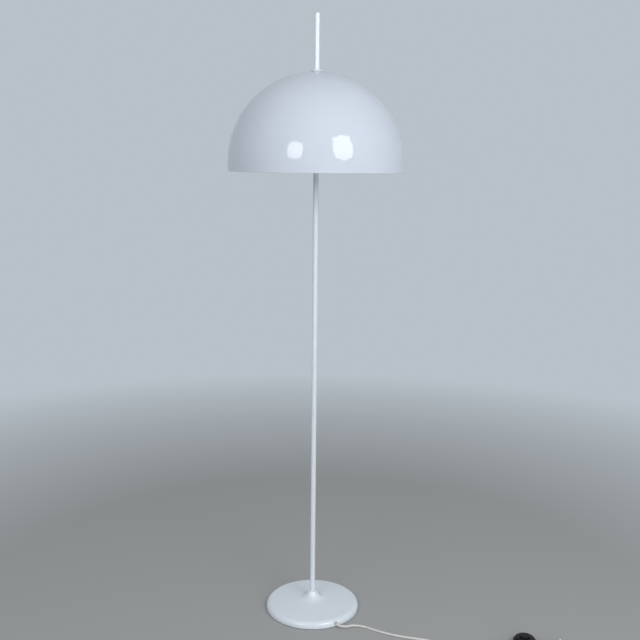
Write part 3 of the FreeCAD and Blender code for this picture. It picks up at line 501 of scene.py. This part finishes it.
def mouldedPlug(look, node):
    front = startOf(node, True)[0]
    sides, stations = look["sides"], plugStations(look)
    spots = []
    for along, halfWide, share in stations:
        for side in range(sides):
            turn = side * math.tau / sides
            across = squared(math.cos(turn), look["square"]) * halfWide
            up = squared(math.sin(turn), look["square"]) * look["halfThick"] * share
            spots.append(front + Vector((along, across, up)))
    lastRing = (len(stations) - 1) * sides
    faces = ringFaces(len(stations), sides)
    faces.append(tuple(range(sides)))
    faces.append(tuple(reversed(range(lastRing, lastRing + sides))))
    mesh = cleanMesh("mouldedPlug", spots, faces)
    for face in mesh.polygons:
        face.use_smooth = len(face.vertices) == 4
    mesh.materials.append(materials["ivory_plastic"])
    plug = addObject("mouldedPlug", mesh)
    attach(plug, "stand")
    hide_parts(node)
    return plug


plugPieces.append(mouldedPlug(plugLook, "plug_body"))
print("plug: moulded")


# a nylon tie holds the coil

tieLook = {
    "turn": 118,  # degrees round the coil
    "width": 0.0046,
    "thick": 0.0005,
    "corner": 0.0032,
    "cornerSteps": 6,
    "edge": 0.00012,
    "head": {
        "size": (0.0058, 0.0066, 0.0044),
        "outwards": 0.003,  # from the middle of the coil's band
        "rim": 0.0011,
        "slotShare": 0.55,
        "slotDepth": 0.002,
    },
    "tail": {"length": 0.011, "widthShare": 0.9, "steps": 8, "lean": 0.000108, "curve": 1.6, "sunk": 0.001},
}


def stripPiece(name, path, width, thick, place, looped):
    count = len(path)
    spots, faces = [], []
    for n, (across, up) in enumerate(path):
        ahead = path[(n + 1) % count if looped else min(n + 1, count - 1)]
        behind = path[n - 1 if looped else max(n - 1, 0)]
        run = Vector((ahead[0] - behind[0], ahead[1] - behind[1])).normalized() * thick
        for side, out in ((-1, 0), (-1, 1), (1, 1), (1, 0)):
            spots.append((across + out * run.y, side * width / 2, up - out * run.x))
    for n in range(count if looped else count - 1):
        for edge in range(4):
            here, there = n * 4, (n + 1) % count * 4
            faces.append((here + edge, there + edge, there + (edge + 1) % 4, here + (edge + 1) % 4))
    if not looped:
        faces += [(0, 1, 2, 3), tuple(4 * (count - 1) + edge for edge in (3, 2, 1, 0))]
    mesh = bpy.data.meshes.new(name)
    mesh.from_pydata(spots, [], faces)
    mesh.transform(place)
    return addObject(name, mesh)


def roundedLoop(left, right, bottom, top, corner, steps):
    loop = []
    for middle, start in (((right - corner, bottom + corner), 270), ((right - corner, top - corner), 0),
                          ((left + corner, top - corner), 90), ((left + corner, bottom + corner), 180)):
        for step in range(steps + 1):
            turn = math.radians(start + step * 90 / steps)
            loop.append((middle[0] + corner * math.cos(turn), middle[1] + corner * math.sin(turn)))
    return loop


def tieHead(look, place):
    build = bmesh.new()
    bmesh.ops.create_cube(build, size=1.0, matrix=Matrix.Diagonal((*look["size"], 1.0)))
    top = max(build.faces, key=lambda face: face.calc_center_median().z)
    bmesh.ops.inset_region(build, faces=[top], thickness=look["rim"])
    for corner in top.verts:
        corner.co.x *= look["slotShare"]
    pushed = bmesh.ops.extrude_face_region(build, geom=[top])["geom"]
    slotFloor = [part for part in pushed if isinstance(part, bmesh.types.BMVert)]
    bmesh.ops.translate(build, vec=(0, 0, -look["slotDepth"]), verts=slotFloor)
    build.faces.remove(top)
    mesh = bpy.data.meshes.new("coilTieHead")
    build.to_mesh(mesh)
    build.free()
    mesh.transform(place)
    return addObject("coilTieHead", mesh)


def tailPath(look, across, up):
    steps = look["steps"]
    return [(across + look["lean"] * step ** look["curve"], up + look["length"] * step / steps - look["sunk"])
            for step in range(steps + 1)]


def makeTie(look, coil, cordRadius):
    turn = Matrix.Rotation(math.radians(look["turn"]), 4, "Z")
    place = Matrix.Translation((*coil["spot"], 0)) @ turn
    thick, head, tail = look["thick"], look["head"], look["tail"]
    inner, outer = coil["inner"] - cordRadius, coil["outer"] + cordRadius
    bottom, top = thick, coil["layers"][1] + cordRadius
    loop = roundedLoop(inner, outer, bottom, top, look["corner"], look["cornerSteps"])
    middle = (inner + outer) / 2 + head["outwards"]
    headUp = top + thick + head["size"][2] / 2
    pieces = [
        stripPiece("coilTieBand", loop, look["width"], thick, place, True),
        tieHead(head, place @ Matrix.Translation((middle, 0, headUp))),
        stripPiece("coilTieTail", tailPath(tail, middle, headUp), look["width"] * tail["widthShare"],
                   thick, place, False),
    ]
    for piece in pieces:
        soften = piece.modifiers.new("edges", "BEVEL")
        soften.width = look["edge"]
        soften.segments = 2
        piece.data.materials.append(materials["white_nylon"])
        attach(piece, "stand")


makeTie(tieLook, coilLook, cordLook["radius"])
print("coil: tied")

print("mains cord: laid")


# the lead hangs between the stem and the hub: a loop and an upper stretch left unattached,
# and a rise that goes with the bushes

leadLook = {
    "still": (0.004, 0.0392, 1.1221),  # two points on the loop, this one and the next
    "sliding": (0.004, 0.0772, 1.1313),
    "stretches": {
        "loop": {
            "node": "lead_lower", "length": 0.097,
            "route": [
                (0, 0.0078, 1.14717), (0, 0.0228, 1.14717), (0.0005, 0.0376, 1.13667),
                (0.0012, 0.0412, 1.12187), (0.0023, 0.0521, 1.11337), (0.0038, 0.0664, 1.11337),
                (0.005, 0.0781, 1.12327), (0.0051, 0.07925, 1.13182),
            ],
        },
        "rise": {
            "node": "lead_lower", "length": 0.046,
            "route": [
                (0.0051, 0.07925, 1.13182), (0.0052, 0.0804, 1.14037), (0.004, 0.0679, 1.15647),
                (0.003, 0.0556, 1.16957),
            ],
        },
        "upper": {
            "node": "lead_upper", "length": 0.077,
            "route": [
                (0.003, 0.0556, 1.16957), (0.002, 0.0433, 1.18267), (0.001, 0.0305, 1.19077),
                (0.0005, 0.019, 1.19997), (0, 0.012, 1.21257), (0, 0.012, 1.22757),
            ],
        },
    },
}


def leadTube(name, route):
    line = cordLine(name + "Line", route)
    mesh = bpy.data.meshes.new_from_object(line)
    line.data.bevel_depth = 0.0
    bare = bpy.data.meshes.new_from_object(line)
    path = [vertex.co.copy() for vertex in bare.vertices]
    bpy.data.objects.remove(line)
    for face in mesh.polygons:
        face.use_smooth = True
    mesh.materials.clear()
    mesh.materials.append(materials["ivory_cord"])
    return addObject(name, mesh), path


for stretch, look in leadLook["stretches"].items():
    route = look["route"]
    lead, path = leadTube("hangingLead" + stretch.capitalize(), route)
    if stretch == "loop":
        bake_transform(lead)
    elif stretch == "rise":
        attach(lead, "guide_bushes")
    else:
        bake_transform(lead)
    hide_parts(look["node"])
print("hanging lead: made")


# the lampholders' skirts are threaded outside and carry a fluted ring

holderLook = {
    "drop": 38,  # degrees below level
    "skirt": 0.0195,
    "ring": {"from": -0.0115, "to": -0.0045, "outer": 0.0232, "soft": 0.0008,
             "flutes": 30, "fluteDepth": 0.0009, "sidesPerFlute": 8},
    "thread": {"from": -0.003, "pitch": 0.0026, "turns": 5, "stepsPerTurn": 48, "runOut": 12,  # steps
               "rise": 0.0008, "leastRise": 0.00005, "sunk": 0.0003, "foot": 0.0017, "crestShare": 0.12},
}


def fluteRing(name, look, skirt, place):
    low, high, outer, soft = look["from"], look["to"], look["outer"], look["soft"]
    outline = [(low, skirt), (low, outer - soft), (low + soft / 3, outer - soft / 3), (low + soft, outer),
               (high - soft, outer), (high - soft / 3, outer - soft / 3), (high, outer - soft), (high, skirt),
               (low, skirt)]
    flutes = {"count": look["flutes"], "depth": look["fluteDepth"], "over": outer - soft / 2}
    return turnedPiece(name, outline, place, "holder_bakelite",
                       sides=look["flutes"] * look["sidesPerFlute"], flutes=flutes)


def threadRidge(name, look, skirt, place):
    perTurn, runOut = look["stepsPerTurn"], look["runOut"]
    steps = look["turns"] * perTurn
    base, halfFoot, halfCrest = skirt - look["sunk"], look["foot"] / 2, look["foot"] * look["crestShare"]
    spots = []
    for step in range(steps + 1):
        turn = step * math.tau / perTurn
        along = look["from"] + look["pitch"] * step / perTurn
        crest = skirt + look["rise"] * min(1.0, step / runOut, (steps - step) / runOut) + look["leastRise"]
        for radius, shift in ((base, -halfFoot), (crest, -halfCrest), (crest, halfCrest), (base, halfFoot)):
            spots.append((radius * math.cos(turn), radius * math.sin(turn), along + shift))
    endCap = tuple(4 * steps + edge for edge in range(4))
    mesh = bpy.data.meshes.new(name)
    mesh.from_pydata(spots, [], ringFaces(steps + 1, 4) + [(0, 3, 2, 1), endCap])
    mesh.transform(place)
    mesh.materials.append(materials["holder_bakelite"])
    return addObject(name, mesh)


drop = math.radians(holderLook["drop"])
for word, side in (("left", -1), ("right", 1)):
    low, high = (Vector(corner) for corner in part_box("holder_shell_" + word))
    place = alongWay((low + high) / 2, (side * math.cos(drop), 0, -math.sin(drop)))
    ring = fluteRing("holderRing" + word.capitalize(), holderLook["ring"], holderLook["skirt"], place)
    ridge = threadRidge("holderThread" + word.capitalize(), holderLook["thread"], holderLook["skirt"], place)
    for piece in (ring, ridge):
        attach(piece, "shade_head")
print("lampholders: threaded")


# floor, backdrop and light

studioLook = {
    "backdrop": linearColor(184, 193, 201),
    "fill": 0.47,
    "fillColor": (0.95, 0.98, 1.0, 1.0),
    "floor": linearColor(172, 174, 174),
    "floorRough": 0.8,
    "floorRadius": 6.0,
    "floorSides": 96,
    "fadeFrom": 0.9,
    "fadeTo": 2.4,
    "lampsAimAt": (0, 0, 1.115),
    "cornerScale": 0.87,
}
softboxes = {
    # azimuth from the front towards the right, rise above the horizon, both in degrees
    "leftSoftbox": {"azimuth": -25.5, "rise": 13.9, "away": 2.2, "size": (0.74, 0.76), "power": 8.5},
    "rightSoftbox": {"azimuth": 33.6, "rise": 17.3, "away": 2.2, "size": (0.98, 1.1), "power": 16.6},
    "lowFill": {"azimuth": 28.0, "rise": -12.0, "away": 2.6, "size": (1.6, 0.8), "power": 10.5},
}


def seenRays(tree):
    rays = addNode(tree, "LightPath").outputs
    first = combine(tree, "MAXIMUM", rays["Is Camera Ray"], rays["Is Glossy Ray"])
    return combine(tree, "MAXIMUM", first, rays["Is Transmission Ray"])


def mixShaders(tree, share, first, second, surface):
    mix = addNode(tree, "MixShader", n0=share, n1=first, n2=second)
    tree.links.new(mix.outputs[0], surface)


def makeBackdrop(look):
    world = bpy.data.worlds.new("studio")
    world.use_nodes = True
    scene.world = world
    tree = world.node_tree
    fill = tree.nodes["Background"]
    fill.inputs["Color"].default_value = look["fillColor"]
    fill.inputs["Strength"].default_value = look["fill"]
    seen = addNode(tree, "Background", Color=look["backdrop"])
    surface = tree.nodes["World Output"].inputs["Surface"]
    mixShaders(tree, seenRays(tree), fill.outputs[0], seen.outputs[0], surface)


def makeFloor(look):
    sides = look["floorSides"]
    turns = [side * math.tau / sides for side in range(sides)]
    rim = [Vector((math.cos(turn), math.sin(turn), 0)) * look["floorRadius"] for turn in turns]
    mesh = bpy.data.meshes.new("floor")
    mesh.from_pydata(rim, [], [range(sides)])
    material = bpy.data.materials.new("paleFloor")
    material.use_nodes = True
    tree = material.node_tree
    shader = tree.nodes["Principled BSDF"]
    shader.inputs["Base Color"].default_value = look["floor"]
    shader.inputs["Roughness"].default_value = look["floorRough"]
    place = addNode(tree, "TexCoord").outputs["Object"]
    away = addNode(tree, "VectorMath", {"operation": "LENGTH"}, n0=place).outputs["Value"]
    fade = spread(tree, away, 0, 1, look["fadeFrom"], look["fadeTo"])
    share = combine(tree, "MULTIPLY", fade, seenRays(tree))
    far = addNode(tree, "Emission", Color=look["backdrop"])
    surface = tree.nodes["Material Output"].inputs["Surface"]
    mixShaders(tree, share, shader.outputs[0], far.outputs[0], surface)
    mesh.materials.append(material)
    addObject("floor", mesh)


def makeSoftbox(name, look, shape="ELLIPSE", scale=1.0, power=1.0, lights=True, mirrored=True):
    lamp = bpy.data.lights.new(name, "AREA")
    lamp.shape = shape
    lamp.size, lamp.size_y = (side * scale for side in look["size"])
    lamp.energy = look["power"] * power
    turn, rise = math.radians(look["azimuth"]), math.radians(look["rise"])
    way = Vector((math.sin(turn) * math.cos(rise), -math.cos(turn) * math.cos(rise), math.sin(rise)))
    box = addObject(name, lamp)
    box.location = Vector(studioLook["lampsAimAt"]) + way * look["away"]
    box.rotation_euler = way.to_track_quat("Z", "Y").to_euler()
    box.visible_diffuse = lights
    box.visible_glossy = mirrored


makeBackdrop(studioLook)
makeFloor(studioLook)
cornerScale = studioLook["cornerScale"]
cornerPower = cornerScale ** 2 * 4 / math.pi  # as bright as the ellipse, for its area
for boxName in ("leftSoftbox", "rightSoftbox"):
    makeSoftbox(boxName, softboxes[boxName])
    # a rectangle seen only in gloss gives the mirrored box its corners
    makeSoftbox(boxName + "Corners", softboxes[boxName], "RECTANGLE", cornerScale, cornerPower, lights=False)
makeSoftbox("lowFill", softboxes["lowFill"], "RECTANGLE", mirrored=False)
scene.view_settings.view_transform = "Standard"
print("studio: lit")
